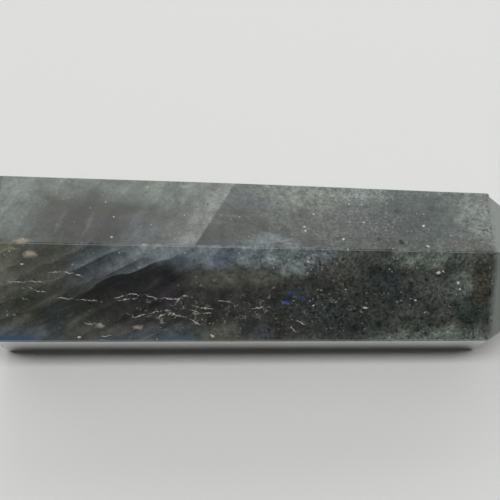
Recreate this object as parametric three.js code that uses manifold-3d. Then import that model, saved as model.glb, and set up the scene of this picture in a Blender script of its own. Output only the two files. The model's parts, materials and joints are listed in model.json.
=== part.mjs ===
// A polished six-sided labradorite tower, about 100 mm long, lying on one of its long faces.
// It is one piece of stone: sawn flat at the base, ground to six long faces that draw in
// towards the tip, and finished with six short facets that meet in a point.
// All sizes are in millimetres.

import * as THREE from 'three';
import { ConvexGeometry } from 'three/addons/geometries/ConvexGeometry.js';
import { mergeVertices } from 'three/addons/utils/BufferGeometryUtils.js';
import Module from 'manifold-3d';

const wasm = await Module();
wasm.setup();

// Driving dimensions. The stone's own axis is x, from the base to the tip.
const bodyLength = 82.4;
const tipLength = 16.9;
const shoulderScale = 0.892; // the section at the shoulder over the section at the base
const apexOffset = { y: 0.6, z: 0.5 }; // a hand-cut point is never quite on the axis
const bluntedTip = 0.35;
const arrisWidth = 0.4; // the narrow flat that polishing leaves along every edge
const tipArrisWidth = 0.35;
const baseBevelWidth = 0.9;
const pitDepthShare = 0.2; // a pit's depth over its width

// The six long faces, in order around the axis. turn is the direction that a face looks in, in
// degrees from +y towards +z, reach its distance from the axis at the base, and shoulder the
// distance from the base to the edge where its tip facet begins.
const longFaces = {
  backUpper: { turn: 31.2, reach: 13.92, shoulder: 82.1 },
  top: { turn: 90, reach: 14.14, shoulder: 82.3 },
  frontUpper: { turn: 150, reach: 13.56, shoulder: 82.2 },
  frontLower: { turn: 211.7, reach: 14.04, shoulder: 82.3 },
  resting: { turn: 270, reach: 14.1, shoulder: 82.0 },
  backLower: { turn: 330.3, reach: 13.85, shoulder: 82.9 },
};
const faceNames = Object.keys(longFaces);

// Chips along the edge that a face shares with the one before it in the list above: how far
// from the base each chip sits, how long it is and how deep it goes.
const arrisChips = [
  { face: 'top', along: 12.4, length: 0.9, depth: 0.16 },
  { face: 'top', along: 39.5, length: 0.8, depth: 0.15 },
  { face: 'top', along: 61.8, length: 1.1, depth: 0.22 },
  { face: 'top', along: 74.6, length: 1.3, depth: 0.26 },
  { face: 'top', along: 77.0, length: 0.9, depth: 0.2 },
  { face: 'frontUpper', along: 16.8, length: 0.8, depth: 0.16 },
  { face: 'frontUpper', along: 53.8, length: 0.9, depth: 0.18 },
  { face: 'frontUpper', along: 64.9, length: 1.2, depth: 0.22 },
  { face: 'frontUpper', along: 71.7, length: 0.9, depth: 0.18 },
  { face: 'frontUpper', along: 79.4, length: 1.4, depth: 0.3 },
  { face: 'frontLower', along: 18.3, length: 0.9, depth: 0.18 },
  { face: 'frontLower', along: 65.8, length: 1.0, depth: 0.18 },
  { face: 'resting', along: 36.1, length: 1.1, depth: 0.2 },
  { face: 'resting', along: 69.7, length: 1.2, depth: 0.24 },
  { face: 'backLower', along: 9.2, length: 1.5, depth: 0.3 },
  { face: 'backLower', along: 44.8, length: 1.0, depth: 0.2 },
  { face: 'backLower', along: 71.9, length: 1.2, depth: 0.24 },
  { face: 'backUpper', along: 27.4, length: 1.1, depth: 0.22 },
  { face: 'backUpper', along: 55.1, length: 1.0, depth: 0.2 },
];

// Chips along the edges between the tip facets, given in the same way.
const tipChips = [
  { face: 'frontUpper', along: 89.5, length: 0.7, depth: 0.15 },
  { face: 'resting', along: 86.2, length: 0.8, depth: 0.16 },
  { face: 'backLower', along: 93.1, length: 0.7, depth: 0.15 },
  { face: 'backUpper', along: 87.4, length: 0.8, depth: 0.16 },
];

// Chips on the rim of the base: how far across a long face's end each sits.
const rimChips = [
  { face: 'backUpper', across: 3.8, length: 1.5, depth: 0.3 },
  { face: 'top', across: -4.6, length: 1.1, depth: 0.25 },
  { face: 'frontUpper', across: 5.3, length: 1.3, depth: 0.3 },
  { face: 'frontLower', across: -1.7, length: 1.7, depth: 0.35 },
  { face: 'resting', across: 4.9, length: 1.2, depth: 0.25 },
  { face: 'backLower', across: -5.5, length: 1.4, depth: 0.3 },
];

// Pits in the long faces, where soft grains pulled out of the polish: how far from the base
// and from the middle of the face each sits, and its width.
const facePits = [
  { face: 'top', along: 57.7, across: 4.3, width: 0.7 },
  { face: 'top', along: 58.8, across: 4.9, width: 0.9 },
  { face: 'top', along: 62.9, across: 3.0, width: 0.7 },
  { face: 'top', along: 63.5, across: 4.6, width: 0.8 },
  { face: 'top', along: 65.4, across: 0.8, width: 0.7 },
  { face: 'top', along: 66.8, across: -1.7, width: 0.9 },
  { face: 'top', along: 67.1, across: 5.3, width: 1.1 },
  { face: 'top', along: 68.9, across: 1.0, width: 0.8 },
  { face: 'top', along: 71.7, across: -0.4, width: 0.9 },
  { face: 'frontUpper', along: 68.9, across: -2.0, width: 0.8 },
  { face: 'frontUpper', along: 70.4, across: 6.0, width: 0.9 },
  { face: 'frontUpper', along: 71.6, across: 6.5, width: 0.9 },
  { face: 'frontUpper', along: 81.4, across: -0.8, width: 1.0 },
  { face: 'frontLower', along: 47.3, across: 1.5, width: 0.8 },
  { face: 'frontLower', along: 66.9, across: -3.4, width: 0.9 },
  { face: 'backUpper', along: 41.2, across: 2.4, width: 1.0 },
  { face: 'backUpper', along: 63.9, across: -3.5, width: 0.9 },
  { face: 'backUpper', along: 66.0, across: -1.1, width: 0.8 },
  { face: 'backLower', along: 22.7, across: 3.1, width: 1.0 },
  { face: 'backLower', along: 58.0, across: -2.2, width: 0.8 },
];

// The unit vector that a long face looks along, before it is drawn in towards the tip.
function outward(face) {
  const turn = THREE.MathUtils.degToRad(face.turn);
  return new THREE.Vector3(0, Math.cos(turn), Math.sin(turn));
}

// The unit vector across a long face, from its edge with the face before it.
function sideways(face) {
  return new THREE.Vector3(1, 0, 0).cross(outward(face));
}

// A face's distance from the axis, that far from the base.
function reachAt(face, along) {
  return face.reach * (1 - (1 - shoulderScale) * along / bodyLength);
}

// The angle by which a long face leans in towards the axis.
function taperOf(face) {
  return Math.atan(face.reach * (1 - shoulderScale) / bodyLength);
}

// The point on a long face that far from the base and from the face's middle line.
function pointOn(face, along, across) {
  const point = outward(face).multiplyScalar(reachAt(face, along));
  point.addScaledVector(sideways(face), across);
  point.x = along;
  return point;
}

function planeThrough(normal, point) {
  return new THREE.Plane().setFromNormalAndCoplanarPoint(normal, point);
}

// The plane square to the stone's axis, that far from the base.
function stationPlane(along) {
  return planeThrough(new THREE.Vector3(1, 0, 0), new THREE.Vector3(along, 0, 0));
}

function longFacePlane(face) {
  const normal = outward(face).multiplyScalar(Math.cos(taperOf(face)));
  normal.x = Math.sin(taperOf(face));
  return planeThrough(normal, pointOn(face, 0, 0));
}

// A tip facet starts on a straight edge across its long face and runs up to the apex.
function tipFacetPlane(face, apex) {
  const upFacet = new THREE.Vector3().subVectors(apex, pointOn(face, face.shoulder, 0));
  const normal = new THREE.Vector3().crossVectors(sideways(face), upFacet).normalize();
  if (normal.dot(outward(face)) < 0) normal.negate();
  return planeThrough(normal, apex);
}

// The point where three flat cuts meet, or null where they have no clear meeting point.
function meetingPoint(a, b, c) {
  const leastSpread = 1e-4;
  const bc = new THREE.Vector3().crossVectors(b.normal, c.normal);
  const ca = new THREE.Vector3().crossVectors(c.normal, a.normal);
  const ab = new THREE.Vector3().crossVectors(a.normal, b.normal);
  const spread = a.normal.dot(bc);
  if (Math.abs(spread) < leastSpread) return null;
  return bc.multiplyScalar(-a.constant)
    .addScaledVector(ca, -b.constant)
    .addScaledVector(ab, -c.constant)
    .divideScalar(spread);
}

// The direction halfway between the ways that two cuts look.
function betweenNormals(a, b) {
  return new THREE.Vector3().addVectors(a.normal, b.normal).normalize();
}

// How deep a flat of that width reaches into the edge between two cuts.
function bevelDepth(a, b, width) {
  return width / 2 * Math.tan(a.normal.angleTo(b.normal) / 2);
}

// The narrow flat that takes the sharpness off the edge between two cuts.
function bevelPlane(a, b, width) {
  const edge = new THREE.Vector3().crossVectors(a.normal, b.normal).normalize();
  const normal = betweenNormals(a, b);
  const point = meetingPoint(a, b, new THREE.Plane(edge, 0));
  point.addScaledVector(normal, -bevelDepth(a, b, width));
  return planeThrough(normal, point);
}

// The closed shape that stays when every cut has been made: the hull of all the points where
// three cuts meet and that no other cut takes away.
function cutStone(planes) {
  const tolerance = 1e-6;
  const samePoint = 1e-3;
  const corners = [];
  for (let i = 0; i < planes.length; i++) {
    for (let j = i + 1; j < planes.length; j++) {
      for (let k = j + 1; k < planes.length; k++) {
        const point = meetingPoint(planes[i], planes[j], planes[k]);
        if (!point) continue;
        if (planes.some((plane) => plane.distanceToPoint(point) > tolerance)) continue;
        if (corners.some((corner) => corner.distanceTo(point) < samePoint)) continue;
        corners.push(point);
      }
    }
  }
  return new ConvexGeometry(corners);
}

function toSolid(geometry) {
  const bare = geometry.clone();
  bare.deleteAttribute('normal');
  bare.deleteAttribute('uv');
  const merged = mergeVertices(bare);
  return new wasm.Manifold(new wasm.Mesh({
    numProp: 3,
    vertProperties: new Float32Array(merged.attributes.position.array),
    triVerts: new Uint32Array(merged.index.array),
  }));
}

function toGeometry(solid) {
  const mesh = solid.getMesh();
  const shared = new THREE.BufferGeometry();
  shared.setAttribute('position', new THREE.BufferAttribute(mesh.vertProperties, 3));
  shared.setIndex(new THREE.BufferAttribute(mesh.triVerts, 1));
  const faceted = shared.toNonIndexed();
  faceted.computeVertexNormals();
  return faceted;
}

// The rough little lump of stone that a chip or a pit takes out of the surface at a point.
// Each one lies turned about the outward direction by its own spin, so that no two look alike.
function lump(point, out, along, length, depth, spin) {
  const shape = new THREE.IcosahedronGeometry(1, 0);
  const side = new THREE.Vector3().crossVectors(out, along).normalize();
  shape.rotateZ(spin);
  shape.scale(length / 2, length / 2, depth);
  shape.applyMatrix4(new THREE.Matrix4().makeBasis(new THREE.Vector3().crossVectors(side, out), side, out));
  shape.translate(point.x, point.y, point.z);
  return toSolid(shape);
}

// A chip sits where the station plane crosses the bevelled edge between two cuts.
function edgeChip(a, b, width, station, { length, depth }, spin) {
  const edge = new THREE.Vector3().crossVectors(a.normal, b.normal).normalize();
  const out = betweenNormals(a, b);
  const point = meetingPoint(a, b, station).addScaledVector(out, -bevelDepth(a, b, width));
  return lump(point, out, edge, length, depth, spin);
}

const apex = new THREE.Vector3(bodyLength + tipLength, apexOffset.y, apexOffset.z);
const basePlane = planeThrough(new THREE.Vector3(-1, 0, 0), new THREE.Vector3());
const tipCut = stationPlane(apex.x - bluntedTip);
const longPlanes = {};
const tipPlanes = {};
const faceBefore = {};
faceNames.forEach((name, i) => {
  longPlanes[name] = longFacePlane(longFaces[name]);
  tipPlanes[name] = tipFacetPlane(longFaces[name], apex);
  faceBefore[name] = faceNames[(i + faceNames.length - 1) % faceNames.length];
});

const bevels = faceNames.flatMap((name) => [
  bevelPlane(longPlanes[faceBefore[name]], longPlanes[name], arrisWidth),
  bevelPlane(tipPlanes[faceBefore[name]], tipPlanes[name], tipArrisWidth),
  bevelPlane(longPlanes[name], tipPlanes[name], tipArrisWidth),
  bevelPlane(longPlanes[name], basePlane, baseBevelWidth),
]);
const wholeStone = toSolid(cutStone([
  basePlane, tipCut, ...Object.values(longPlanes), ...Object.values(tipPlanes), ...bevels,
]));

const losses = [];
arrisChips.forEach((chip) => {
  const before = longPlanes[faceBefore[chip.face]];
  const station = stationPlane(chip.along);
  losses.push(edgeChip(before, longPlanes[chip.face], arrisWidth, station, chip, chip.along));
});
tipChips.forEach((chip) => {
  const before = tipPlanes[faceBefore[chip.face]];
  const station = stationPlane(chip.along);
  losses.push(edgeChip(before, tipPlanes[chip.face], tipArrisWidth, station, chip, chip.along));
});
rimChips.forEach((chip) => {
  const face = longFaces[chip.face];
  const station = planeThrough(sideways(face), pointOn(face, 0, chip.across));
  losses.push(edgeChip(longPlanes[chip.face], basePlane, baseBevelWidth, station, chip, chip.across));
});
facePits.forEach(({ face, along, across, width }) => {
  const pitted = longFaces[face];
  const lengthwise = new THREE.Vector3(1, 0, 0);
  const point = pointOn(pitted, along, across);
  losses.push(lump(point, outward(pitted), lengthwise, width, width * pitDepthShare, along));
});
const wornStone = losses.reduce((stone, loss) => stone.subtract(loss), wholeStone);

const polishedStone = new THREE.MeshStandardMaterial({ color: 0x4d5350, roughness: 0.18, metalness: 0 });
const obelisk = new THREE.Mesh(toGeometry(wornStone), polishedStone);
obelisk.name = 'obelisk';

// The stone lies on its resting face, so its axis dips towards the tip by that face's taper.
// The origin is under the middle of it, on the surface that it lies on.
obelisk.rotation.y = taperOf(longFaces.resting);
obelisk.updateMatrixWorld();
const extent = new THREE.Box3().setFromObject(obelisk, true);
const middle = extent.getCenter(new THREE.Vector3());
obelisk.position.set(-middle.x, -middle.y, -extent.min.z);

const part = new THREE.Group();
part.name = 'labradorite_obelisk';
part.add(obelisk);

export default part;
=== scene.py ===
import json
import math

import bpy
from mathutils import Matrix, Vector
from mathutils.bvhtree import BVHTree


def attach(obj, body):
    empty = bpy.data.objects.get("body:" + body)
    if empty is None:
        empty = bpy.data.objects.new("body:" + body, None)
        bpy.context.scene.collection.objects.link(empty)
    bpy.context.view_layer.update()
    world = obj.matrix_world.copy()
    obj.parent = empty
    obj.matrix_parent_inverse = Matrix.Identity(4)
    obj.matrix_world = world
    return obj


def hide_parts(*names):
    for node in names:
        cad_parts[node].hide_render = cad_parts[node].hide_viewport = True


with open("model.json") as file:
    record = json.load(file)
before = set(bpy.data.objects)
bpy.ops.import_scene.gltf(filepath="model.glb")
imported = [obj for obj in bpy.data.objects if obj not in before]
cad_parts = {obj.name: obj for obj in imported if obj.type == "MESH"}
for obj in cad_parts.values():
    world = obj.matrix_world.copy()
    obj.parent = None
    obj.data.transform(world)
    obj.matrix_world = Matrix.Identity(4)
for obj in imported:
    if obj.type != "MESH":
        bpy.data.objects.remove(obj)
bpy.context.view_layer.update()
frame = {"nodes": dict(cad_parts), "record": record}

# The stone: one piece of polished labradorite, sawn flat at its base, ground to six long faces
# and brought to a point by six short facets. It lies loose on one long face. Its skin here is a
# fine net that is pressed onto the CAD solid, so every bevel, chip and pit of the solid stays.
MM = 0.001
body_length = 82.4 * MM
rim_bevel = 0.64 * MM  # how far the base's bevel reaches in from the sharp corner
far_edge_bow = 0.2 * MM  # the far upper face was ground a little full at mid length
under_edge_bow = 0.25 * MM  # and the lower front face is a little round from edge to edge
closed_share = 0.55  # how much of a pit's depth the polish has closed
face_spacing = 0.5 * MM  # between the net's lines along a flat face
arris_spacing = 0.1 * MM  # and where they crowd together at an arris
arris_lines = 5
row_spacing = 0.34 * MM
disc_row_spacing = 1.1 * MM
tip_row_spacing = 0.21 * MM
shoulder_row_spacing = 0.12 * MM
shoulder_zone = 0.9 * MM  # the rows are that close so far to each side of the shoulder

base_face = next(mount for mount in frame["record"]["mounts"] if mount["name"] == "base_face")
base_centre = Vector(base_face["pos_m"])
lengthwise = -Vector(base_face["axis"])
away = Vector((0, 1, 0))
upright = lengthwise.cross(away)

cad_stone = frame["nodes"]["obelisk"].data
corners = [vertex.co.copy() for vertex in cad_stone.vertices]
triangles = [tuple(triangle.vertices) for triangle in cad_stone.polygons]
solid = BVHTree.FromPolygons(corners, triangles)
stone_length = max((corner - base_centre).dot(lengthwise) for corner in corners)
apex_offset = away * 0.6 * MM + upright * 0.5 * MM  # the point is a little off the stone's axis


def centre_at(along):
    """The middle of the stone's section, that far from the base."""
    share = max(0, along - body_length) / (stone_length - body_length)
    return base_centre + lengthwise * along + apex_offset * share


def radial(angle):
    """The direction square to the stone's axis, turned from the far side towards the top."""
    return away * math.cos(angle) + upright * math.sin(angle)


def skin_point(target, outwards):
    """The point of the solid's surface that is nearest to a target, looking straight in."""
    reach = 30 * MM
    hit = solid.ray_cast(target + outwards * reach, -outwards, 2 * reach)[0]
    return hit if hit is not None else solid.find_nearest(target)[0]


def radius_at(along, angle):
    """How far the solid's surface is from the stone's axis there."""
    centre = centre_at(along)
    return (skin_point(centre, radial(angle)) - centre).length


def find_arrises():
    """The six angles where the section has its corners, found on the solid at mid length."""
    steps = 720
    reach = 4  # neighbours on each side that are averaged, so that a bevel counts as one corner
    angles = [math.tau * step / steps for step in range(steps)]
    radii = [radius_at(body_length / 2, angle) for angle in angles]
    smooth = [sum(radii[(i + k) % steps] for k in range(-reach, reach + 1)) for i in range(steps)]
    window = steps // 15
    return [
        angles[i] for i in range(steps)
        if smooth[i] == max(smooth[(i + k) % steps] for k in range(-window, window + 1))
    ]


def line_angles():
    """The angles of all the net's lengthwise lines, crowded together beside each arris."""
    arrises = find_arrises()
    angles = []
    for start, end in zip(arrises, arrises[1:] + [arrises[0] + math.tau]):
        first = radial(start) * radius_at(body_length / 2, start)
        last = radial(end) * radius_at(body_length / 2, end)
        width = (last - first).length
        near = [step * arris_spacing for step in range(arris_lines)]
        inner = near[-1] + arris_spacing * 2
        count = round((width - 2 * inner) / face_spacing)
        flat = [inner + (width - 2 * inner) * step / count for step in range(count + 1)]
        places = near + flat + [width - place for place in reversed(near[1:])]
        for place in places:
            point = first.lerp(last, place / width)
            angle = math.atan2(point.dot(upright), point.dot(away))
            angles.append(angle % math.tau)
    return angles


def spread(start, end, spacing):
    """Even steps from start towards end, without the end itself."""
    count = max(1, round(abs(end - start) / spacing))
    return [start + (end - start) * step / count for step in range(count)]


# The net's rings: from the middle of the base to its rim, then along the stone, closer together
# over the rim and the shoulder, and last two small ones that close the blunted tip.
angles = line_angles()
rim_radii = [radius_at(2 * rim_bevel, angle) for angle in angles]
rim_steps = [rim_bevel * share for share in (1.6, 1.25, 1, 0.75, 0.5, 0.25)]
least_radius = min(rim_radii)
disc_insets = spread(least_radius * 0.96, rim_steps[0], disc_row_spacing) + rim_steps
disc_rows = [("disc", inset) for inset in disc_insets]
shoulder_start = body_length - shoulder_zone
tip_start = body_length + shoulder_zone
tip_end = stone_length - 0.02 * MM
stations = [0] + rim_steps[::-1]
stations += spread(rim_steps[0] + row_spacing, shoulder_start, row_spacing)
stations += spread(shoulder_start, tip_start, shoulder_row_spacing)
stations += spread(tip_start, tip_end, tip_row_spacing)
stations.append(tip_end)
side_rows = [("side", along) for along in stations]
cap_rows = [("cap", share) for share in (0.7, 0.35)]
rows = disc_rows + side_rows + cap_rows


def row_points(kind, place):
    """One ring of the net, from the middle of the base, out to its rim and along to the tip."""
    points = []
    for angle, rim_radius in zip(angles, rim_radii):
        out = radial(angle)
        if kind == "disc":
            turn = max(0, 1 - place / rim_bevel) / 2
            radius = rim_radius - place * rim_radius / least_radius
            target = base_centre + out * radius
            looking = (out * turn - lengthwise * (1 - turn)).normalized()
            points.append(skin_point(target, looking))
        elif kind == "side" and place < rim_bevel:
            turn = (1 + place / rim_bevel) / 2
            looking = (out * turn - lengthwise * (1 - turn)).normalized()
            points.append(skin_point(base_centre + lengthwise * place + out * rim_radius, looking))
        elif kind == "side":
            points.append(skin_point(centre_at(place), out))
        else:
            centre = centre_at(stone_length)
            edge = radius_at(tip_end, angle)
            points.append(skin_point(centre + out * edge * place, lengthwise))
    return points


rings = [row_points(kind, place) for kind, place in rows]
net_rows = len(rings)
net_lines = len(angles)


def settled(rings):
    """One light pass over the net, as a polishing cloth rounds what it runs over."""
    own, neighbour = 0.5, 0.125
    result = [list(ring) for ring in rings]
    for i in range(1, net_rows - 1):
        for j in range(net_lines):
            beside = rings[i][j - 1] + rings[i][(j + 1) % net_lines]
            before_after = rings[i - 1][j] + rings[i + 1][j]
            result[i][j] = rings[i][j] * own + (beside + before_after) * neighbour
    return result


def flat_directions(count):
    """The directions that the stone's large flats look in, found by adding up the solid's facets."""
    sums = {}
    for facet in cad_stone.polygons:
        key = tuple(round(value, 2) for value in facet.normal)
        sums[key] = sums.get(key, Vector()) + facet.normal * facet.area
    widest = sorted(sums.values(), key=lambda total: total.length, reverse=True)[:count]
    return [total.normalized() for total in widest]


flat_count = 13  # six long faces, six facets of the point and the base
flats = flat_directions(flat_count)
flat_levels = [max((corner - base_centre).dot(flat) for corner in corners) for flat in flats]


def pit_depth(point):
    """How deep a point lies below the nearest flat, where that flat looks, and the next one's gap."""
    gaps = [level - (point - base_centre).dot(flat) for flat, level in zip(flats, flat_levels)]
    least = min(range(len(flats)), key=gaps.__getitem__)
    return gaps[least], flats[least], sorted(gaps)[1]


# The polish closed up most of each pit in the faces. The two edges beside the top face are
# crisper than the others and their chips are shallow, and the other edges are left as they are.
arris_reach = 0.9 * MM
ridge_reach = 0.5 * MM
ridge_share = 0.9
top_flat = max(flats, key=lambda flat: flat.z)
nearest_top = sorted(flats, key=lambda flat: flat.dot(top_flat))[-4:-1]
beside_top = [flat for flat in nearest_top if abs(flat.dot(lengthwise)) < 0.1]  # no facet of the point
top_level = flat_levels[flats.index(top_flat)]
for ring in rings:
    for j, point in enumerate(ring):
        depth, flat, next_gap = pit_depth(point)
        if next_gap > arris_reach:
            ring[j] = point + flat * depth * closed_share
            continue
        for side_flat in beside_top:
            side_gap = flat_levels[flats.index(side_flat)] - (point - base_centre).dot(side_flat)
            top_gap = top_level - (point - base_centre).dot(top_flat)
            if max(side_gap, top_gap) < ridge_reach:
                out = (top_flat + side_flat).normalized()
                ring[j] = point + out * ridge_share * min(side_gap, top_gap) / out.dot(top_flat)

# The two bows. The far face's is at its full where the skin is that far beyond the axis and above
# it. The front face's is fullest half-way down to its lower edge, which lies that far below the
# axis at the base, and closer to it by that share at the shoulder.
rings = settled(rings)
full_aside, full_height = 7 * MM, 11 * MM
edge_at_base, edge_draws_in = 14 * MM, 0.108
bow_start = 6 * MM
for ring in rings:
    for point in ring:
        along = (point - base_centre).dot(lengthwise)
        aside = (point - centre_at(along)).dot(away)
        height = (point - centre_at(along)).dot(upright)
        if 0 < along < body_length and aside > 0 and height > 0:
            beside = min(1, aside / full_aside) * min(1, height / full_height)
            point += away * far_edge_bow * beside * math.sin(math.pi * along / body_length) ** 2
        elif 0 < along < body_length and aside < 0 and height < 0:
            edge_height = edge_at_base * (1 - edge_draws_in * along / body_length)
            down = min(1, -height / edge_height)
            inner = min(1, along / bow_start, (body_length - along) / bow_start)
            point -= away * under_edge_bow * 4 * down * (1 - down) * inner

vertices = [point for ring in rings for point in ring]
base_pole = len(vertices)
tip_pole = base_pole + 1
vertices += [skin_point(base_centre, -lengthwise), skin_point(centre_at(stone_length), lengthwise)]

# Each corner of a face gets its place on the net laid out flat: the sides as one sheet, with
# the length of the stone across the map and its girth up the map, and the base as a disc beside.
disc_count = len(disc_rows)
sheet_width = 0.76
disc_map_centre = Vector((0.88, 0.5))
disc_map_radius = 0.115
sheet_gap = 0.004  # between the sheet and the border of the map
profile = [0.0]
for i in range(disc_count, net_rows):
    profile.append(profile[-1] + (rings[i][0] - rings[i - 1][0]).length)
profile.append(profile[-1] + (vertices[tip_pole] - rings[-1][0]).length)
girth = [0.0]
widest_ring = rings[disc_count + len(rim_steps)]
for j in range(net_lines):
    girth.append(girth[-1] + (widest_ring[(j + 1) % net_lines] - widest_ring[j]).length)


def side_place(row, line):
    """A point of the sides on the map. The tip's triangles meet half-way between two lines."""
    share_along = profile[row - disc_count + 1] / profile[-1]
    share_round = (girth[math.floor(line)] + girth[math.ceil(line)]) / 2 / girth[-1]
    return (
        sheet_gap + (sheet_width - 2 * sheet_gap) * share_along,
        sheet_gap + (1 - 2 * sheet_gap) * share_round,
    )


def disc_place(row, line):
    """A point of the base on the map."""
    inset = rows[row][1] if row < disc_count else 0
    out = 1 - inset / least_radius
    angle = angles[line % net_lines]
    radius = disc_map_radius * out
    return (disc_map_centre.x + radius * math.cos(angle), disc_map_centre.y + radius * math.sin(angle))


faces = []
map_places = []
for j in range(net_lines):
    k = (j + 1) % net_lines
    faces.append((base_pole, k, j))
    map_places += [tuple(disc_map_centre), disc_place(0, j + 1), disc_place(0, j)]
    for i in range(net_rows - 1):
        here, there = i * net_lines, (i + 1) * net_lines
        faces.append((here + j, here + k, there + k, there + j))
        place = disc_place if i + 1 < disc_count else side_place
        map_places += [place(i, j), place(i, j + 1), place(i + 1, j + 1), place(i + 1, j)]
    last = (net_rows - 1) * net_lines
    faces.append((last + j, last + k, tip_pole))
    map_places += [side_place(net_rows - 1, j), side_place(net_rows - 1, j + 1)]
    map_places.append(side_place(net_rows, j + 0.5))

skin = bpy.data.meshes.new("polished_stone")
skin.from_pydata(vertices, [], faces)
flat_map = skin.uv_layers.new(name="OFBake")
flat_map.data.foreach_set("uv", [value for place in map_places for value in place])
skin.shade_smooth()
skin.validate()
polished_stone = bpy.data.objects.new("polished_stone", skin)
bpy.context.scene.collection.objects.link(polished_stone)

# Two marks on the skin that the material reads: the narrow flats along the edges, where the
# polish is thinner, and the chips, where the broken stone is rough and pale.
arris_tilt = math.radians(14)
least_tilt = 0.4  # of that, below which the skin still counts as flat
chip_start = 0.12 * MM
chip_blend = 0.08 * MM
arris_mark = []
chip_mark = []
for vertex in skin.vertices:
    tilt = math.acos(min(1, max(vertex.normal.dot(flat) for flat in flats)))
    arris_mark.append(min(1, max(0, tilt / arris_tilt - least_tilt)))
    depth = pit_depth(vertex.co)[0]
    chip_mark.append(min(1, max(0, depth - chip_start) / chip_blend))
for name, marks in (("arris", arris_mark), ("chip", chip_mark)):
    skin.attributes.new(name, "FLOAT", "POINT").data.foreach_set("value", marks)

# What the stone is: grey feldspar, cloudy and a little clear, with paler veils on parallel
# cleavage sheets, dark grains towards the point, fine cracks, and blue flashes in a few places.
labradorite = bpy.data.materials.new("polished_labradorite")
labradorite.use_nodes = True
labradorite.node_tree.nodes.clear()


class Wire:
    """A value on its way through the stone's shader. Arithmetic on it adds Math nodes."""

    tree = labradorite.node_tree

    def __init__(self, socket):
        self.socket = socket
        self.quarter = None

    @classmethod
    def node(cls, kind, settings=None, sockets=None, output=0):
        """Adds a node: its settings first, then its sockets, each a number or another wire."""
        made = cls.tree.nodes.new("ShaderNode" + kind)
        for name, value in (settings or {}).items():
            if name == "bends":
                cls.bend(made.mapping.curves[0], value)
            else:
                setattr(made, name, value)
        for name, value in (sockets or {}).items():
            if isinstance(value, Wire):
                cls.tree.links.new(value.socket, made.inputs[name])
            else:
                made.inputs[name].default_value = value
        return cls(made.outputs[output]) if made.outputs else None

    @staticmethod
    def bend(curve, points):
        """Gives a curve its points, with rounded bends between them."""
        while len(curve.points) < len(points):
            curve.points.new(0.5, 0.5)
        for place, (x, y) in zip(curve.points, points):
            place.location = (x, y)

    def math(self, operation, *others):
        """Any other sum, by the name of the Math node's operation."""
        return Wire.node("Math", {"operation": operation}, dict(enumerate((self, *others))))

    def __add__(self, other):
        return self.math("ADD", other)

    def __mul__(self, other):
        return self.math("MULTIPLY", other)

    def __sub__(self, other):
        return self.math("SUBTRACT", other)

    def __rsub__(self, other):
        return Wire.node("Math", {"operation": "SUBTRACT"}, {0: other, 1: self})

    def __truediv__(self, other):
        return self.math("DIVIDE", other)

    __radd__ = __add__
    __rmul__ = __mul__

    def larger(self, other):
        """Whichever is the larger of the two."""
        return self.math("MAXIMUM", other)

    def step(self, low, high, at_low=0.0, at_high=1.0):
        """Goes softly from one number to another while the value goes from low to high."""
        return Wire.node(
            "MapRange", {"interpolation_type": "SMOOTHSTEP"},
            {0: self, 1: low, 2: high, 3: at_low, 4: at_high},
        )


def vector(operation, *values, output=0):
    """A sum on whole places or directions."""
    return Wire.node("VectorMath", {"operation": operation}, dict(enumerate(values)), output)


def noise(where, size, detail=2.0, roughness=0.5, output="Fac", stretch=(1, 1, 1)):
    """Cloudy noise whose lumps are about that many millimetres across."""
    if stretch != (1, 1, 1):
        where = vector("MULTIPLY", where, stretch)
    sockets = {"Vector": where, "Scale": 1 / size, "Detail": detail, "Roughness": roughness}
    return Wire.node("TexNoise", {}, sockets, output)


def shaken(where, size, amount, detail=2.0):
    """The same place, pushed about by noise, so that what is drawn there gets a ragged edge."""
    lumps = noise(where, size, detail, output="Color")
    pushes = [Wire.node("SeparateColor", {}, {0: lumps}, channel) - 0.5 for channel in range(3)]
    push = Wire.node("CombineXYZ", {}, dict(enumerate(pushes)))
    return vector("MULTIPLY_ADD", push, (amount, amount, amount), where)


def paint(under, over, cover):
    """Lays one colour over another, as thickly as its cover says."""
    return Wire.node("Mix", {"data_type": "RGBA"}, {0: cover, 6: under, 7: over}, 2)


def shade(under, factor):
    """Makes a colour lighter or darker by a factor that varies from place to place."""
    grey = Wire.node("CombineColor", {}, {0: factor, 1: factor, 2: factor})
    return Wire.node("Mix", {"data_type": "RGBA", "blend_type": "MULTIPLY"}, {0: 1, 6: under, 7: grey}, 2)


# Places in the stone, in millimetres: from the base along the axis, across it and up from it.
at_object = Wire.node("TexCoord", {}, {}, "Object")
dip = math.atan2(-lengthwise.z, lengthwise.x)
inside = Wire.node(
    "Mapping", {"vector_type": "TEXTURE"},
    {"Vector": at_object, "Location": base_centre, "Rotation": (0, dip, 0), "Scale": (MM, MM, MM)},
)
along = Wire.node("SeparateXYZ", {}, {0: inside}, 0)

# The polish is never quite flat: it waves a little, as thick glass does.
ripple = noise(inside, 4, 2)
waved = Wire.node("Bump", {}, {"Strength": 0.4, "Distance": 0.05 * MM, "Height": ripple})

# The two faces that the viewer sees: how much closer to the axis a long face comes with each
# millimetre from the base, and then which way each face looks and how far from the axis it is.
taper = 0.018


def face_plan(turn, reach):
    """A face laid flat: along it from the base, across it from its middle, and out of it."""
    turn = math.radians(turn)
    across = vector("DOT_PRODUCT", inside, (0, -math.sin(turn), math.cos(turn)), output="Value")
    outward = vector("DOT_PRODUCT", inside, (0, math.cos(turn), math.sin(turn)), output="Value")
    return Wire.node("CombineXYZ", {}, {0: along, 1: across, 2: outward + along * taper - reach})


top = face_plan(90, 14.1)
front = face_plan(150, 13.55)

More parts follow.
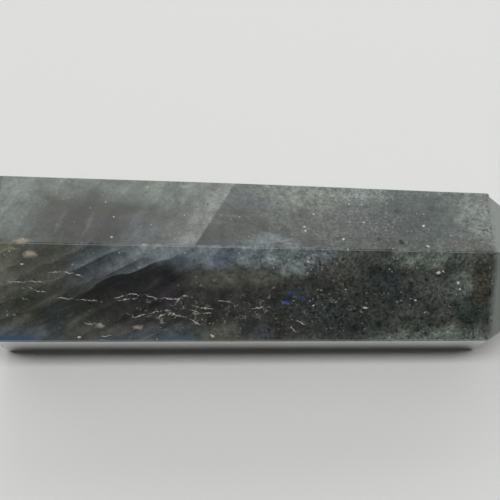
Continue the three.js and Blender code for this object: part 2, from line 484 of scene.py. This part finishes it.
# The same two plans pushed about, so that what is drawn on them gets an uneven edge, and where
# on the stone each plan counts.
ragged = {"top": shaken(top, 4.5, 4.0, 4), "front": shaken(front, 4.5, 4.0, 4)}
wavy = {"top": shaken(top, 2.2, 1.0, 2), "front": shaken(front, 2.2, 1.0, 2)}
crumbled = {"top": shaken(top, 0.7, 0.9, 2), "front": shaken(front, 0.7, 0.9, 2)}
wisps = noise(inside, 3.4, 5, 0.66) - 0.5
near_front = Wire.node("SeparateXYZ", {}, {0: front}, 2).step(-0.55, -0.12)
on_face = {"top": 1 - near_front, "front": near_front}


def patch(plan, place, size, turn=0.0, softness=0.9, depth=6.0, fray=0.0):
    """A soft round or long area on a face: 1 in its middle and 0 outside it, frayed by the wisps."""
    cosine, sine = math.cos(math.radians(turn)), math.sin(math.radians(turn))
    per_length, per_width = 2 / size[0], 2 / size[1]
    shrink = (cosine * per_length, cosine * per_width, 1 / depth)
    shift_along = -(place[0] * cosine + place[1] * sine) * per_length
    shift_across = (place[0] * sine - place[1] * cosine) * per_width
    local = vector("MULTIPLY_ADD", plan, shrink, (shift_along, shift_across, 0))
    if turn:
        if plan.quarter is None:  # the plan turned by a quarter, made once for all its areas
            plan.quarter = vector("CROSS_PRODUCT", plan, (0, 0, 1))
        local = vector("MULTIPLY_ADD", plan.quarter, (sine * per_length, sine * per_width, 0), local)
    out = vector("LENGTH", local, output="Value")
    if fray:
        out = wisps.math("MULTIPLY_ADD", fray, out)
    return out.step(1, 1 - softness)


def stroke(plan, start, end, width, softness=0.8, depth=4.0, fray=0.0):
    """A long thin area from one point of a face to another, and a little past both."""
    past = 1.15
    run = (end[0] - start[0], end[1] - start[1])
    middle = ((start[0] + end[0]) / 2, (start[1] + end[1]) / 2)
    turn = math.degrees(math.atan2(run[1], run[0]))
    return patch(plan, middle, (math.hypot(*run) * past, width), turn, softness, depth, fray)


# The stone's colours.
milky = (0.175, 0.187, 0.172, 1)
milky_green = (0.138, 0.162, 0.142, 1)
pale_green = (0.110, 0.132, 0.114, 1)
pale_olive = (0.145, 0.147, 0.112, 1)
pale_slate = (0.160, 0.188, 0.200, 1)
pale_teal = (0.138, 0.168, 0.160, 1)
lavender = (0.128, 0.145, 0.175, 1)
slate = (0.076, 0.088, 0.098, 1)
grey = (0.062, 0.070, 0.062, 1)
warm_grey = (0.074, 0.074, 0.062, 1)
brown = (0.036, 0.031, 0.020, 1)
olive = (0.026, 0.026, 0.012, 1)
dark = (0.030, 0.031, 0.027, 1)
dark_purple = (0.026, 0.023, 0.027, 1)
dark_slate = (0.024, 0.029, 0.030, 1)
dark_green = (0.018, 0.032, 0.027, 1)
dark_teal = (0.030, 0.054, 0.048, 1)
black = (0.004, 0.004, 0.005, 1)
tan = (0.360, 0.320, 0.240, 1)
white = (0.620, 0.620, 0.580, 1)
crack_white = (0.400, 0.390, 0.350, 1)
glint_grey = (0.360, 0.370, 0.340, 1)
flash_blue = (0.030, 0.085, 0.230, 1)
bright_blue = (0.060, 0.090, 0.420, 1)
deep_blue = (0.050, 0.070, 0.240, 1)
dusky_blue = (0.050, 0.090, 0.170, 1)
steel_blue = (0.042, 0.085, 0.165, 1)
lake_blue = (0.050, 0.110, 0.150, 1)
sea_blue = (0.060, 0.110, 0.130, 1)
smoke_blue = (0.050, 0.080, 0.120, 1)

# All through the stone: pale and dark clouds, some of them greener, some browner.
clouds = noise(inside, 13, 4, 0.55)
tints = noise(inside, 18, 2)
stone = paint(dark, grey, clouds.step(0.34, 0.52))
stone = paint(stone, pale_green, clouds.step(0.50, 0.66, 0, 0.8))
stone = paint(stone, slate, tints.step(0.55, 0.66, 0, 0.5))
stone = paint(stone, warm_grey, tints.step(0.44, 0.34, 0, 0.45))

# The top face and the front upper face, area by area, as light and dark lie in the stone there, with
# some painted blue sheen near their shared edge: the face, the area's middle and its size along and across,
# its turn, its colour and its cover.
areas = [
    ("top", (42, -8), (150, 16), 0, pale_green, 1.0),
    ("top", (42, 3.5), (180, 14), 0, grey, 0.9),
    ("top", (-1, -2), (22, 26), 0, milky_green, 1.0),
    ("top", (15, 2.2), (20, 16), 0, dark, 0.95),
    ("top", (18.8, 2.6), (8, 8), 0, dark_purple, 0.5),
    ("top", (25, 4), (8, 9), 0, slate, 0.75),
    ("top", (42.6, -2.8), (9, 8), 0, slate, 0.7),
    ("top", (45.5, 5.2), (13, 5.5), 0, pale_slate, 0.55),
    ("top", (46, -5.6), (16, 6), 0, milky_green, 0.5),
    ("top", (37, -0.5), (9, 8), 0, pale_green, 0.5),
    ("top", (55, -4.4), (14, 8), 0, pale_olive, 0.3),
    ("top", (61, -4.8), (6, 5), 0, pale_slate, 0.4),
    ("top", (71, -1.6), (20, 20), 0, dark_teal, 1.0),
    ("top", (69, -0.6), (15, 9), 0, dark_slate, 0.6),
    ("top", (66.5, 4.0), (19, 9), 0, dark_slate, 0.6),
    ("top", (79.5, -1.8), (9, 12), 0, pale_green, 0.9),
    ("top", (78.5, 5.2), (8, 4.5), 0, brown, 0.5),
    ("top", (83.5, -1), (6, 20), 0, pale_teal, 0.8),
    ("front", (40, 1.5), (140, 26), 0, dark, 0.95),
    ("front", (-2, -5.5), (20, 18), 0, pale_olive, 1.0),
    ("front", (-1, 1), (14, 12), 0, warm_grey, 0.95),
    ("front", (10.5, -4.5), (20, 11), 0, warm_grey, 0.8),
    ("front", (5.5, 2.1), (9, 6), 20, olive, 0.6),
    ("front", (10, 3.9), (9, 6), 40, dark_slate, 0.7),
    ("front", (5, 7.2), (18, 4.5), 0, slate, 0.9),
    ("front", (17.5, -4.6), (16, 8), -25, slate, 0.85),
    ("front", (26, 1.6), (20, 9), 0, dark_purple, 0.8),
    # Painted sheen: this pale slate band under the front's upper edge, and the lavender and pale teal near
    # it, are partly the veil's own paleness and partly painted blue sheen.
    ("front", (38.5, -7.6), (52, 8.6), 0, pale_slate, 1.0),
    ("front", (38.5, -6.6), (8, 5), 0, lavender, 0.8),
    ("front", (43.2, -6.2), (4.5, 4), 0, warm_grey, 0.5),
    ("front", (49, -6), (11, 7), 0, pale_teal, 0.9),
    ("front", (40, -3), (23, 5), 0, warm_grey, 0.95),
    ("front", (30, -1.6), (7, 7), 0, dark_purple, 0.85),
    ("front", (51, 1.4), (14, 7), 0, dark_slate, 0.7),
    ("front", (57.8, -4.4), (11, 5.5), 0, warm_grey, 0.5),
    ("front", (64.8, -2.2), (11, 7.5), 35, dark_slate, 0.85),
    ("front", (61.6, -4.8), (7, 3.6), 0, dark_slate, 0.55),
    ("front", (68.6, 0.6), (7, 4), 20, dark_slate, 0.5),
    ("front", (58.5, 4.6), (16, 10), 0, dark_slate, 0.8),
    ("front", (27.5, 7.4), (22, 4.6), 0, slate, 0.9),
    ("front", (33, 7.6), (9, 3), 0, dark_teal, 0.4),
    ("front", (38.5, 6.9), (13, 5), 0, warm_grey, 1.0),
    ("front", (44.8, 6.8), (6, 5), 0, slate, 0.6),
    ("front", (18, 6.4), (14, 4.4), 0, warm_grey, 0.7),
    ("front", (71, -6.8), (15, 6.5), 0, pale_green, 0.85),
    ("front", (73, -1.5), (12, 8), 0, grey, 0.75),
    ("front", (77, -2.2), (6, 6), 0, pale_green, 0.7),
    ("front", (80.6, -1.6), (6, 8), 0, brown, 0.6),
    ("front", (68.5, 3.2), (10, 5), 0, grey, 0.4),
    ("front", (73, 7.2), (30, 6), 0, pale_green, 0.7),
    ("front", (79.2, 2.8), (8, 5), 0, dark_green, 0.75),
]
for face, place, size, turn, colour, strength in areas:
    cover = patch(ragged[face], place, size, turn, softness=0.7, fray=0.8) * on_face[face]
    stone = paint(stone, colour, cover * strength)

# Narrow dark and pale bands on the two faces: where each starts and ends, and its width.
bands = [
    ("top", (6.5, -4.6), (13.2, 0.2), 3.8, olive, 0.75),
    ("top", (12.5, -0.4), (28.5, -1.2), 3.6, olive, 0.8),
    ("top", (6.2, 0.2), (3.0, 7.4), 2.0, milky_green, 0.5),
    ("top", (12.4, -0.9), (10.3, 6.0), 1.5, warm_grey, 0.7),
    ("top", (17.0, -1.8), (15.1, 6.6), 1.1, warm_grey, 0.6),
    ("top", (61.8, -4.4), (63.2, 0.8), 3.0, dark_green, 0.55),
    ("top", (72.4, -5.8), (73.6, -1.8), 2.0, dark_green, 0.6),
    ("top", (66.0, -0.4), (68.6, 3.6), 2.4, dark_green, 0.4),
    ("top", (29.3, -5.8), (31.2, -0.2), 1.5, olive, 0.55),
    ("top", (31.0, -0.8), (33.0, 5.4), 1.6, olive, 0.6),
    ("top", (36.0, 0.7), (41.8, 1.1), 2.1, brown, 0.8),
    ("top", (41.0, 0.9), (47.2, 3.5), 2.3, brown, 0.75),
    ("top", (46.5, 3.2), (51.0, 5.4), 2.6, brown, 0.6),
    ("top", (34.2, 0.0), (38.6, -0.3), 0.5, milky, 0.4),
    ("top", (38.2, -0.3), (42.4, 0.1), 0.5, milky, 0.4),
    ("top", (29.8, -6.5), (32.6, -6.5), 1.1, white, 0.25),
    ("front", (1.4, 7.4), (8.8, 1.8), 2.4, pale_olive, 0.5),
    ("front", (8.0, 2.3), (12.4, 0.0), 2.0, pale_olive, 0.35),
    ("front", (11.2, 7.6), (17.4, 2.3), 1.8, pale_olive, 0.4),
    ("front", (12.4, 4.5), (14.3, 3.0), 0.7, warm_grey, 0.6),
    ("front", (25.2, -0.4), (29.3, -4.0), 0.9, warm_grey, 0.5),
]
for face, start, end, width, colour, strength in bands:
    cover = stroke(wavy[face], start, end, width, 0.95, fray=0.5) * on_face[face]
    stone = paint(stone, colour, cover * strength)

# The veils: pale cloudy sheets inside the stone, parallel and about as far apart from each
# other. Each grows paler up to its edge and has dark stone behind it, like ridges in haze.
sheet_normal = (0.445, -0.201, -0.873)
sheet_spacing = 2.6
widest_sheet = 4.5  # how far from the middle of the base the widest veil passes
sheet_place = vector("DOT_PRODUCT", inside, sheet_normal, output="Value") - widest_sheet
sheet_sway = noise(inside, 5, 3) - 0.5
through = ((sheet_place + sheet_sway * 2.4) / sheet_spacing).math("FRACT")
pale_side = through * through * through
dark_side = (1 - through) * (1 - through)
veiled = along.step(36, 26, 0.25, 1.0) * (near_front * 0.12 + 0.16)
stone = shade(stone, (pale_side * 0.9 - dark_side * 0.6) * veiled + 1)
drawn_out = 0.14  # the threads in the sheets are that much thinner than long
threads = Wire.node("CombineXYZ", {}, {
    0: sheet_place,
    1: Wire.node("SeparateXYZ", {}, {0: inside}, 1) * drawn_out,
    2: Wire.node("SeparateXYZ", {}, {0: inside}, 2) * drawn_out,
})
thread_light = noise(threads, 1.6, 4, 0.6) - 0.5
stone = shade(stone, thread_light * along.step(40, 28, 0.35, 1.5) + 1)

# The widest veil crosses the top face and comes down the front as a wavy skyline. The curve is
# how far its edge leaves the sheet there, as a share of two millimetres.
skyline_start = 12
skyline_length = 24
skyline = Wire.node(
    "FloatCurve",
    {"bends": [
        (0.0, 0.50), (0.10, 0.60), (0.18, 0.59), (0.25, 0.82), (0.33, 0.79), (0.39, 0.65),
        (0.47, 0.33), (0.55, 0.27), (0.60, 0.29), (0.66, 0.23), (0.73, 0.05), (0.89, 0.0), (1.0, 0.0),
    ]},
    {"Value": (along - skyline_start) / skyline_length},
)
main_sheet = sheet_place + skyline * near_front * 2 + sheet_sway * 0.25
behind = main_sheet.step(-0.06, 0.14)
down_front = Wire.node("SeparateXYZ", {}, {0: front}, 1)
behind_near = main_sheet.step(7.0, 0.3) * along.step(11, 17) * along.step(37, 30) * near_front
stone = paint(stone, black, behind * behind_near * down_front.step(-7.4, -4.6, 0.1, 0.76))
on_top = on_face["top"]
stone = shade(stone, 1 - behind * main_sheet.step(8.0, 0.5) * along.step(48, 41) * on_top * 0.34)
veil_edge_and_sheen = main_sheet.step(0.04, -0.10) * main_sheet.step(-3.6, 0.2)
top_paleness = along.step(18, 30, 0.0, 0.4) + along.step(27.4, 28.4, 0.0, 0.5)
stone = paint(stone, milky, veil_edge_and_sheen * on_top * top_paleness)
# On the front, the pale slate along the veil's edge is partly painted blue sheen.
stone = paint(stone, pale_slate, veil_edge_and_sheen * near_front * along.step(17, 26) * along.step(38, 33) * 0.9)

# Two lower ridges of veil in front of the widest one. Each levels off near its upper end.
for level, level_from, start, end in ((-2.1, 25.0, 17.0, 28.0), (-5.1, 20.3, 12.0, 23.5)):
    ridge = sheet_place + sheet_sway * 0.3 - (along - level_from).larger(0) * 0.5 - level
    lies = along.step(start, start + 3) * along.step(end, end - 2) * near_front
    stone = shade(stone, 1 - ridge.step(-0.06, 0.12) * ridge.step(2.2, 0.1) * lies * 0.42)
    stone = paint(stone, pale_slate, ridge.step(0.02, -0.12) * ridge.step(-1.3, 0.0) * lies * 0.45)

# The stone's grain: mottling of two sizes, and coarse sparkling grains from its middle on.
coarse = along.step(30, 60, 0.3, 1.0) * along.step(84, 82.5, 0.15, 1.0)
mottle = noise(inside, 2.2, 4, 0.66).math("MULTIPLY_ADD", 2.4, -0.2)
fine = noise(inside, 0.5, 2, 0.6) - 0.5
mottle = (mottle - 1) * along.step(12, 40, 0.6, 1.1) + 1
stone = shade(stone, mottle * (fine * coarse * 3.2 + 1))


def grains(where, size, share, least, most):
    """Small separate grains: a share of the cells that a space of that size is divided into."""
    cell = {"Vector": where, "Scale": 1 / size}
    distance = Wire.node("TexVoronoi", {}, cell, "Distance")
    draw = Wire.node("TexVoronoi", {}, cell, "Color")
    chance = Wire.node("SeparateColor", {}, {0: draw}, 0)
    width = Wire.node("SeparateColor", {}, {0: draw}, 1)
    radius = width * width * (most - least) + least
    return (distance / radius).step(1, 0.5) * chance.step(share, share - 0.02)


crowded = noise(inside, 5, 3).step(0.42, 0.60)
peppered = patch(ragged["top"], (65, 1.5), (24, 14), 0, 0.9, fray=0.8) * on_face["top"]
peppered = peppered.larger(patch(ragged["front"], (57, 1.5), (24, 15), 0, 0.9, fray=0.8) * near_front * 0.8)
crowded = crowded.larger(peppered)
pepper = noise(inside, 0.55, 1, 0.6)
stone = paint(stone, black, pepper.step(0.60, 0.68) * peppered * 0.95)
stone = paint(stone, milky, pepper.step(0.38, 0.31) * peppered * 0.6)
gravel = shaken(inside, 0.55, 0.8, 2)
pale_grains = grains(gravel, 0.8, coarse * crowded * 0.40 + 0.02, 0.12, 0.42)
dark_grains = grains(gravel, 0.93, coarse * crowded * 0.42, 0.12, 0.45)
glints = grains(gravel, 0.57, coarse * crowded * 0.50 + 0.04, 0.10, 0.30)
stone = paint(stone, milky, pale_grains * 0.65)
stone = paint(stone, black, dark_grains * 0.75)
stone = paint(stone, glint_grey, glints * 0.8)

# Fine cracks, which catch the light as broken white lines, and a lace of them low in front.
cracks = [
    [(9.6, -3.5), (12.1, -3.7), (14.0, -3.2), (15.6, -2.8)],
    [(2.9, -1.8), (6.4, -2.0), (9.2, -1.8)],
    [(6.4, -1.2), (7.4, -0.5), (9.6, 0.1)],
    [(10.7, 0.8), (14.0, 1.1), (17.8, 1.4)],
    [(20.3, 1.0), (22.3, 0.3), (24.7, 0.1)],
    [(20.8, 1.3), (23.2, 0.8), (24.2, 0.9)],
    [(25.2, 0.0), (27.7, 0.9), (31.9, 0.7)],
    [(30.2, 1.7), (31.4, 0.4), (32.6, 0.4)],
    [(23.0, 4.2), (25.8, 3.6), (28.4, 2.8), (29.6, 3.0)],
    [(28.5, 3.0), (32.3, 4.1), (34.9, 5.6)],
    [(27.2, 4.4), (28.8, 3.4), (30.6, 3.6)],
    [(33.0, 2.0), (36.8, 2.6)],
    [(32.6, 2.6), (34.6, 3.4), (36.4, 3.2)],
    [(15.2, 5.2), (17.5, 5.3)],
    [(17.8, 7.7), (20.0, 7.3)],
    [(37.0, 1.0), (40.0, 1.5)],
    [(42.8, 2.5), (45.0, 2.1)],
    [(50.2, 4.5), (52.0, 5.2)],
    [(49.2, 5.6), (50.6, 6.6)],
    [(5.2, 1.0), (6.6, 1.3)],
]
crack_width = 0.22
crack_lines = None
for crack in cracks:
    for start, end in zip(crack, crack[1:]):
        line = stroke(crumbled["front"], start, end, crack_width, 0.7, 1.2)
        crack_lines = line if crack_lines is None else crack_lines.larger(line)
lace_field = noise(front, 1.3, 3, 0.62, stretch=(0.5, 1, 1))
lace = (lace_field - 0.5).math("ABSOLUTE").step(0.018, 0.004)
lace_reach = patch(ragged["front"], (31, 3.2), (22, 8), 0, 0.6)
lace_reach = lace_reach.larger(patch(ragged["front"], (45, 2.6), (30, 8), 0, 0.8) * 0.6)
lace_gaps = noise(front, 1.1, 1).step(0.48, 0.62)
broken = noise(front, 0.5, 2).step(0.30, 0.46)
pale_lines = (crack_lines * broken).larger(lace * lace_reach * lace_gaps * 0.8)
stone = paint(stone, crack_white, pale_lines * 0.95)

# The brightest specks on each face: their places along and across it, and their lengths.
specks = {
    "top": [
        (11.5, -2.7, 0.35), (5.8, 6.5, 0.4), (25.1, -6.0, 0.5), (20.0, 1.1, 0.45), (24.6, 2.8, 0.4),
        (26.3, 2.5, 0.4), (20.0, 5.6, 0.5), (25.2, 7.0, 0.5), (31.6, 0.3, 0.4), (40.6, 0.2, 0.35),
        (39.4, 3.1, 0.3), (51.3, 1.9, 0.9), (51.4, 2.9, 0.6), (53.0, -0.9, 0.6), (58.9, -3.4, 0.6),
        (61.2, 0.8, 0.6), (57.6, 4.5, 0.6), (75.4, 3.0, 0.4), (71.1, 1.1, 0.5), (71.4, 5.6, 0.8),
    ],
    "front": [
        (3.7, -7.0, 0.4), (5.6, -4.9, 0.6), (21.3, -6.9, 0.4), (32.0, -7.1, 0.4), (40.6, -7.2, 0.5),
        (46.2, -4.5, 0.4), (51.9, -5.8, 0.6), (53.7, -5.1, 0.4), (53.1, 1.7, 0.6), (61.5, 2.1, 0.8),
        (58.3, -1.0, 0.5), (65.2, -4.6, 0.5), (73.3, -4.1, 1.0), (74.1, -4.3, 0.5), (76.6, -2.4, 0.8),
        (77.0, -1.2, 0.7), (69.7, 0.8, 0.6), (65.7, 7.4, 0.4), (36.4, 7.2, 0.9), (14.6, 7.7, 0.7),
    ],
}
bright = None
for face, places in specks.items():
    for place_along, across, width in places:
        spot = patch(crumbled[face], (place_along, across), (width, width * 0.7), 0, 0.8, 1.5)
        bright = spot if bright is None else bright.larger(spot)
stone = paint(stone, white, bright * 0.85)

# The tan flecks and the dark spots, each in its place and with its length and width.
flecks = [
    ("front", (6.9, -6.6), (2.8, 1.9), 0.9),
    ("front", (18.1, 5.7), (2.1, 1.3), 0.75),
    ("front", (24.2, 5.9), (2.1, 1.0), 0.65),
    ("front", (4.1, -7.5), (3.0, 0.9), 0.4),
    ("top", (5.6, 7.0), (4.4, 1.6), 0.6),
    ("top", (25.4, 7.2), (2.0, 0.8), 0.6),
]
for face, place, size, strength in flecks:
    stone = paint(stone, tan, patch(crumbled[face], place, size, 0, 0.8, 1.5, 0.9) * strength)
dark_spots = [
    ("top", (67.1, 5.4), (2.0, 1.3)),
    ("top", (63.4, 4.4), (1.1, 1.6)),
    ("top", (63.0, 3.1), (0.9, 0.8)),
    ("top", (66.8, -1.9), (1.6, 1.2)),
    ("top", (71.7, -0.4), (1.8, 1.3)),
    ("top", (68.9, 1.3), (2.0, 1.8)),
    ("top", (72.7, -3.0), (2.2, 2.2)),
    ("top", (73.9, -5.0), (1.0, 0.7)),
    ("top", (81.1, 1.7), (2.0, 0.7)),
    ("top", (56.7, 4.5), (1.4, 0.9)),
    ("front", (82.0, -0.8), (1.8, 2.0)),
    ("front", (68.8, -2.0), (1.0, 0.8)),
    ("front", (70.3, 5.9), (1.6, 0.9)),
    ("front", (71.6, 6.6), (1.4, 0.9)),
    ("front", (70.9, 3.9), (1.1, 0.8)),
    ("front", (78.9, 4.5), (4.0, 1.0)),
    ("front", (63.9, 4.9), (1.4, 1.2)),
    ("front", (75.9, 3.5), (1.2, 0.8)),
    ("front", (57.6, -6.2), (1.2, 0.9)),
    ("front", (72.4, 5.0), (0.9, 0.8)),
]
for face, place, size in dark_spots:
    stone = paint(stone, black, patch(crumbled[face], place, size, 0, 0.8, 1.5, 0.9) * 0.85)

# The flash: thin layers in the feldspar throw back blue light in a few places; that blue reflection is
# painted into the colour, with a little metallic.
flashes = [
    ((3.5, 8.2), (14, 2.2), steel_blue, 0.85),
    ((20, 8.1), (9, 1.5), smoke_blue, 0.7),
    ((31, 7.7), (8, 1.8), sea_blue, 0.7),
    ((48.5, 1.3), (1.4, 0.9), bright_blue, 0.9),
    ((51.2, 0.6), (1.5, 1.2), deep_blue, 0.7),
    ((49.2, -0.3), (4, 1.6), flash_blue, 0.25),
    ((37.5, -5.8), (6, 2.4), dusky_blue, 0.3),
    ((31, -5.8), (6, 2.0), lake_blue, 0.4),
]
flash_cover = None
for place, size, colour, strength in flashes:
    glow = patch(crumbled["front"], place, size, 0, 0.95, 3, 0.6) * strength
    stone = paint(stone, colour, glow)
    flash_cover = glow if flash_cover is None else flash_cover.larger(glow)
# The same painted blue reflection, in patches on the low faces at the back.
low_behind = (0, 0.35, -0.94)
hidden = vector("DOT_PRODUCT", inside, low_behind, output="Value").step(5.0, 9.5)
hidden_flash = noise(inside, 9.5, 3, 0.6).step(0.60, 0.74) * hidden
stone = paint(stone, flash_blue, hidden_flash * 0.7)

# Edges and chips are paler, because the broken and bruised stone scatters light, and the point
# is milky. The face low in front shines more: it mirrors the table at a flat angle.
arris = Wire.node("Attribute", {"attribute_name": "arris"}, {}, "Fac")
chip = Wire.node("Attribute", {"attribute_name": "chip"}, {}, "Fac")
bruised = noise(inside, 1.4, 3).step(0.40, 0.62)
point_haze = along.step(82.3, 83.4) * (along.step(84, 88, 1.0, 0.55) + wisps * 0.9)
stone = paint(stone, milky_green, point_haze * 0.9)
stone = paint(stone, pale_green, arris * bruised * 0.22)
stone = paint(stone, milky, chip * 0.5)
low_in_front = (0, -0.851, -0.526)
underneath = vector("DOT_PRODUCT", inside, low_in_front, output="Value").step(11, 12.5)

# The polish: clear and even on the flats, a little dull on edges, open on grains and cracks.
haze = noise(inside, 3.5, 3)
roughness = haze * 0.07 + 0.10 + coarse * 0.03 + arris * 0.30 + chip * 0.35 + pale_lines * 0.2
gloss = Wire.node(
    "BsdfPrincipled", {},
    {
        "Base Color": stone, "Roughness": roughness, "Normal": waved, "IOR": 1.56,
        "Coat Weight": underneath, "Coat Roughness": 0.08,
        "Metallic": flash_cover.larger(hidden_flash * 0.7) * 0.25,
    },
)
Wire.node("OutputMaterial", {}, {"Surface": gloss})
skin.materials.append(labradorite)

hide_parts("obelisk")
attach(polished_stone, "root")

# The table: a plain white board, matt, a little less brightly lit on the side of the viewer.
floor_half = 1.5
floor_mesh = bpy.data.meshes.new("white_table")
turns = ((-1, -1), (1, -1), (1, 1), (-1, 1))
floor_corners = [(floor_half * x, floor_half * y, 0) for x, y in turns]
floor_mesh.from_pydata(floor_corners, [], [(0, 1, 2, 3)])
white_table = bpy.data.objects.new("white_table", floor_mesh)
bpy.context.scene.collection.objects.link(white_table)
board = bpy.data.materials.new("white_board")
board.use_nodes = True
board_finish = board.node_tree.nodes["Principled BSDF"].inputs
board_finish["Base Color"].default_value = (0.72, 0.72, 0.71, 1)
board_finish["Roughness"].default_value = 0.6
floor_mesh.materials.append(board)

# The light: a dim grey room with a soft box high in front, which keeps the stone's shadow short,
# low windows behind it and at its left, a pale ceiling, and a strip of light that shows in the
# top face's polish.
room = bpy.data.worlds.new("dim_room")
room.use_nodes = True
room.node_tree.nodes["Background"].inputs["Color"].default_value = (0.12, 0.12, 0.12, 1)
bpy.context.scene.world = room


def soft_light(name, bearing, height, distance, width, depth, brightness):
    """A flat soft light in that direction, aimed at the stone, and as bright as it should look."""
    level = distance * math.cos(math.radians(height))
    panel = bpy.data.lights.new(name, "AREA")
    panel.shape = "RECTANGLE"
    panel.size = width
    panel.size_y = depth
    panel.energy = brightness * width * depth * math.pi
    hung = bpy.data.objects.new(name, panel)
    hung.location = (
        level * math.sin(math.radians(bearing)),
        level * math.cos(math.radians(bearing)),
        distance * math.sin(math.radians(height)),
    )
    hung.rotation_mode = "QUATERNION"
    hung.rotation_quaternion = (-hung.location).to_track_quat("-Z", "Y")
    hung.visible_camera = False
    bpy.context.scene.collection.objects.link(hung)


# Each light's bearing from straight behind the stone, its height as an angle, its distance, its
# width and depth, and its brightness.
soft_light("soft_box_in_front", 180, 65, 2.4, 2.4, 0.43, 13.0)
soft_light("ceiling", 0, 90, 0.9, 2.6, 2.2, 0.12)
soft_light("window_behind", 20, 20, 1.2, 1.8, 0.85, 1.3)
soft_light("window_at_left", 317, 24, 1.2, 0.9, 0.5, 1.1)
soft_light("strip_behind", 4, 42.5, 1.0, 0.75, 0.27, 1.6)

# The camera stands in front of the stone and looks down on it, as the photograph was taken.
elevation = math.radians(48.056)
swing = math.radians(0.254)
distance = 260.1 * MM
looked_at = Vector((-6.80, 16.41, 0)) * MM
back = Vector((
    math.sin(swing) * math.cos(elevation),
    -math.cos(swing) * math.cos(elevation),
    math.sin(elevation),
))
right = Vector((math.cos(swing), math.sin(swing), 0))
viewer = bpy.data.cameras.new("viewer")
viewer.lens = 100
viewer.sensor_width = 36
viewer.clip_start = 0.01
camera = bpy.data.objects.new("viewer", viewer)
camera.matrix_world = Matrix.Translation(looked_at + back * distance) @ Matrix((
    right, back.cross(right), back,
)).transposed().to_4x4()
bpy.context.scene.collection.objects.link(camera)
bpy.context.scene.camera = camera
bpy.context.scene.view_settings.view_transform = "Standard"
